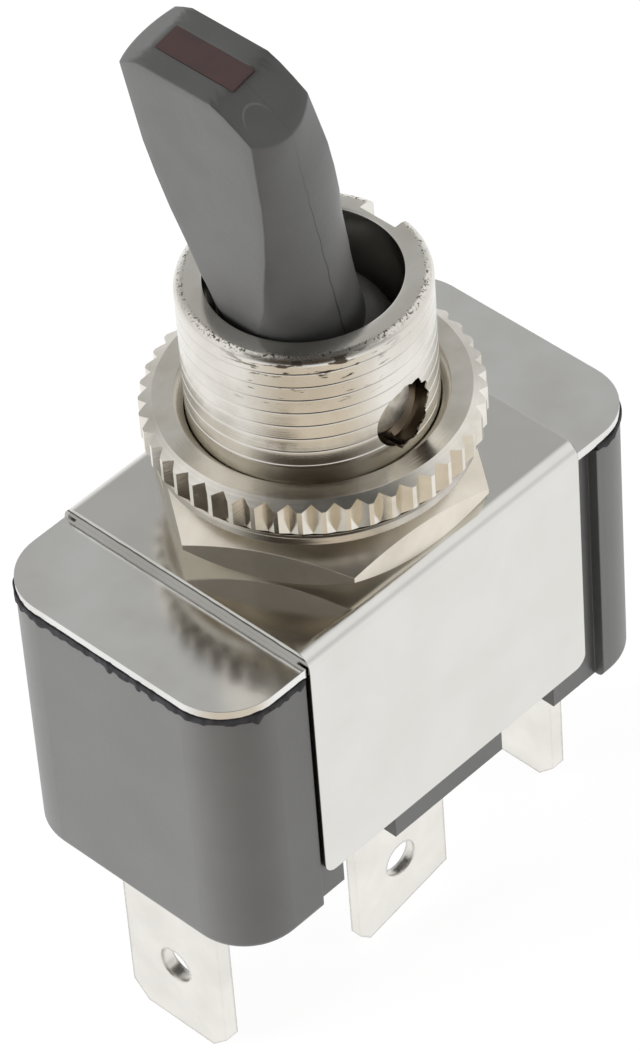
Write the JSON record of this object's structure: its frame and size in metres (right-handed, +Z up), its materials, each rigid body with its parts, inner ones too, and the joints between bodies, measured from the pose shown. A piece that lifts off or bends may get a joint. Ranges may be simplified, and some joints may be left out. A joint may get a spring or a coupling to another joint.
{
  "type": "illuminated toggle switch",
  "caption": "Panel-mount toggle switch with a lit duckbill lever, a threaded bushing with nuts and washers, a framed housing and blade terminals.",
  "frame": {"origin": "on the bushing's axis, at the top face of the frame strap", "axes": "+Z up along the bushing towards the lever; X along the body, +X on the keyway's and the earth terminal's side; Y across the body"},
  "size_m": [0.0288, 0.0162, 0.057],
  "materials": {
    "phenolic": "moulded phenolic, satin",
    "fibre": "black vulcanised fibre sheet",
    "bright_steel": "bright nickel-plated steel, polished",
    "satin_steel": "zinc-plated steel strip, satin",
    "nickel_brass": "nickel-plated brass, satin with wear at the rim",
    "nickel_nut": "nickel-plated brass, polished",
    "nickel_washer": "nickel-plated steel, polished",
    "passivated": "yellow-passivated zinc on spring steel",
    "pin_steel": "ground steel",
    "black_nylon": "moulded black nylon, satin",
    "red_lens": "tinted dark red, polished",
    "led_epoxy": "red diffused epoxy",
    "resistor_body": "lacquered",
    "lead_sleeve": "sleeved lead",
    "plunger_nylon": "natural acetal",
    "spring_steel": "music wire",
    "rocker_brass": "pressed brass strip",
    "silver": "silver contact",
    "tinned_brass": "tin-plated brass, matte"
  },
  "bodies": {
    "switch_body": {"housing": "phenolic", "gasket": "fibre", "cover_plate": "bright_steel", "strap": "satin_steel", "bushing": "nickel_brass", "pivot_pin_front": "pin_steel", "pivot_pin_rear": "pin_steel", "hex_nut": "nickel_nut", "flat_washer": "nickel_washer", "load_terminal": "tinned_brass", "supply_terminal": "tinned_brass", "earth_terminal": "tinned_brass", "fixed_contact": "silver", "fulcrum": "tinned_brass", "fulcrum_rivets": "tinned_brass", "earth_rivet": "tinned_brass"},
    "lever": {"lever": "black_nylon", "lens": "red_lens", "led": "led_epoxy", "resistor": "resistor_body", "load_lead": "lead_sleeve", "earth_lead": "lead_sleeve", "plunger_spring": "spring_steel"},
    "plunger": {"plunger": "plunger_nylon"},
    "rocker": {"rocker": "rocker_brass", "moving_contact": "silver"},
    "lock_washer": {"lock_washer": "passivated"},
    "knurled_nut": {"knurled_nut": "nickel_nut"}
  },
  "joints": [
    {"name": "lever_tilt", "type": "hinge", "parent": "switch_body", "child": "lever", "pos_m": [0, 0, 0.0075], "axis": [0, 1, 0], "range_deg": [0, 26], "deforming": ["load_lead", "earth_lead"]},
    {"name": "rocker_tilt", "type": "hinge", "parent": "switch_body", "child": "rocker", "pos_m": [0, 0, -0.01], "axis": [0, 1, 0], "range_deg": [-16, 0]},
    {"name": "plunger_slide", "type": "slide", "parent": "lever", "child": "plunger", "axis": [-0.225, 0, 0.9744], "range_m": [0, 0.0012], "stiffness_N_per_m": 800, "springref_m": -0.0015, "deforming": ["plunger_spring"]},
    {"name": "nut_rise", "type": "slide", "parent": "switch_body", "child": "lock_washer", "axis": [0, 0, 1], "range_m": [0, 0.00794]},
    {"name": "nut_spin", "type": "hinge", "parent": "lock_washer", "child": "knurled_nut", "pos_m": [0, 0, 0.005], "axis": [0, 0, 1], "range_deg": [0, 3600]}
  ],
  "couplings": [
    {"joint": "rocker_tilt", "follows": "lever_tilt", "ratio": -0.61538},
    {"joint": "nut_spin", "follows": "nut_rise", "rad_per_m": 7913.3}
  ]
}
